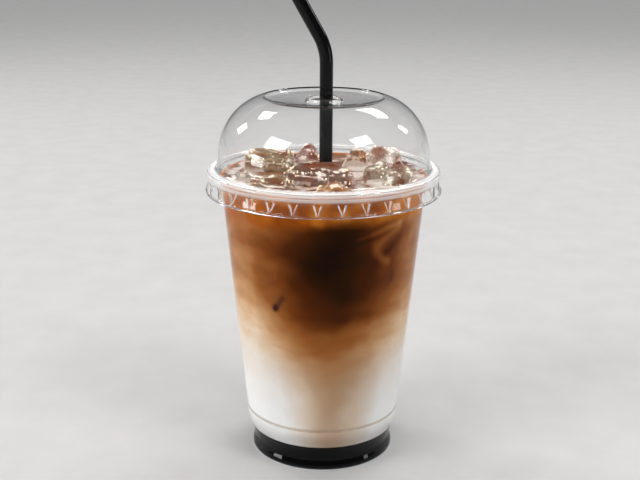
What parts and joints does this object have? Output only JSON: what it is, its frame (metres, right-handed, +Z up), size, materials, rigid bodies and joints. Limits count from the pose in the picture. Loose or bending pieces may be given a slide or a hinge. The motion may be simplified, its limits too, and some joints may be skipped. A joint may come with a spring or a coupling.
{
  "type": "iced latte",
  "caption": "Iced latte in a clear takeaway cup with a domed lid, a bendy straw, a milk layer under coffee, and floating ice.",
  "frame": {"origin": "middle of the underside of the cup's foot, on the surface it stands on", "axes": "+Z up along the cup's axis, the straw's upper arm leans towards -X, and -Y is the side seen in the picture"},
  "size_m": [0.1, 0.1, 0.22],
  "materials": {
    "clear_plastic": "clear glossy moulded plastic",
    "black_plastic": "glossy black",
    "milk": "opaque milk, slightly tinted by coffee",
    "coffee": "cloudy brown coffee",
    "ice": "wet melting ice over brown coffee"
  },
  "bodies": {
    "root": {"cup": "clear_plastic", "lid": "clear_plastic", "straw": "black_plastic", "milk_layer": "milk", "coffee_layer": "coffee", "ice_01": "ice", "ice_02": "ice", "ice_03": "ice", "ice_04": "ice", "ice_05": "ice", "ice_06": "ice", "ice_07": "ice", "ice_08": "ice", "ice_09": "ice", "ice_10": "ice"}
  },
  "joints": []
}
